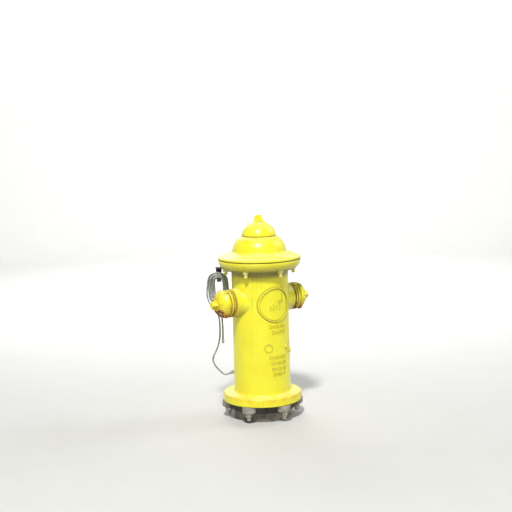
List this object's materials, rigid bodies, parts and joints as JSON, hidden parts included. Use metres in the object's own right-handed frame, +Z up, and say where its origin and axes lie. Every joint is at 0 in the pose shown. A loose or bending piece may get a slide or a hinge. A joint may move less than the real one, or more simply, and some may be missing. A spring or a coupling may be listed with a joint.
{
  "type": "fire hydrant",
  "caption": "Dry-barrel street fire hydrant in yellow enamel with side hose nozzles, screwed caps, domed bonnet, operating nut and a coiled retaining cable.",
  "frame": {"origin": "on the barrel's axis at the ground line, the centre of the underside", "axes": "+Z up, hose nozzles along -X and +X, round cast badge facing -Y"},
  "size_m": [0.45, 0.33, 0.817],
  "materials": {
    "yellow_enamel": "glossy yellow enamel on cast iron",
    "bare_iron": "unpainted weathered cast iron",
    "dark_iron": "bitumen-coated cast iron",
    "bolt_steel": "zinc-plated steel, dulled",
    "painted_bolt": "thin yellow overspray on steel",
    "bronze": "machined bronze",
    "stem_steel": "machined carbon steel",
    "stainless": "satin stainless",
    "seal_rubber": "black rubber",
    "gasket_fibre": "dark fibre-rubber sheet",
    "washer_plastic": "natural acetal",
    "hanger_steel": "galvanised steel, weathered",
    "cable_jacket": "grey-green weathered cable"
  },
  "bodies": {
    "hydrant": {"lower_barrel": "dark_iron", "safety_flange": "bare_iron", "barrel_gasket": "gasket_fibre", "base_studs": "bolt_steel", "base_nuts": "bolt_steel", "upper_barrel": "yellow_enamel", "bonnet_gasket": "gasket_fibre", "bonnet": "yellow_enamel", "bonnet_studs": "painted_bolt", "bonnet_nuts": "painted_bolt", "stem_seals": "seal_rubber", "thrust_washer": "bronze", "anti_friction_washer": "washer_plastic", "hold_down_nut": "bronze", "hold_down_seal": "seal_rubber", "nozzle_set_screws": "stainless", "left_hose_nozzle": "bronze", "left_nozzle_seal": "seal_rubber", "right_hose_nozzle": "bronze", "right_nozzle_seal": "seal_rubber", "cable_hanger": "hanger_steel", "cable_anchor": "hanger_steel", "cable_run": "cable_jacket", "cable_coil": "cable_jacket", "cable_tail": "cable_jacket", "cable_ferrule": "stainless"},
    "operating_nut": {"operating_nut": "yellow_enamel", "weather_cap": "yellow_enamel"},
    "stem": {"upper_stem": "stem_steel", "stem_sleeve": "bronze", "sleeve_pin": "stainless", "stem_coupling": "bare_iron", "coupling_pins": "stainless", "lower_stem": "stem_steel"},
    "left_gasket": {"left_cap_gasket": "seal_rubber"},
    "left_cap": {"left_cap": "yellow_enamel"},
    "right_gasket": {"right_cap_gasket": "seal_rubber"},
    "right_cap": {"right_cap": "yellow_enamel"}
  },
  "joints": [
    {"name": "operating_nut_turn", "type": "hinge", "parent": "hydrant", "child": "operating_nut", "pos_m": [0, 0, 0.72], "axis": [0, 0, 1], "range_deg": [0, 3240]},
    {"name": "stem_lift", "type": "slide", "parent": "hydrant", "child": "stem", "axis": [0, 0, 1], "range_m": [-0.04573, 0]},
    {"name": "left_cap_travel", "type": "slide", "parent": "hydrant", "child": "left_gasket", "axis": [-1, 0, 0], "range_m": [0, 0.0271]},
    {"name": "left_cap_turn", "type": "hinge", "parent": "left_gasket", "child": "left_cap", "pos_m": [-0.16, 0, 0.475], "axis": [-1, 0, 0], "range_deg": [0, 2880]},
    {"name": "right_cap_travel", "type": "slide", "parent": "hydrant", "child": "right_gasket", "axis": [1, 0, 0], "range_m": [0, 0.0271]},
    {"name": "right_cap_turn", "type": "hinge", "parent": "right_gasket", "child": "right_cap", "pos_m": [0.16, 0, 0.475], "axis": [1, 0, 0], "range_deg": [0, 2880]}
  ],
  "couplings": [
    {"joint": "stem_lift", "follows": "operating_nut_turn", "m_per_rad": -0.00080851},
    {"joint": "left_cap_travel", "follows": "left_cap_turn", "m_per_rad": 0.00053901},
    {"joint": "right_cap_travel", "follows": "right_cap_turn", "m_per_rad": 0.00053901}
  ]
}
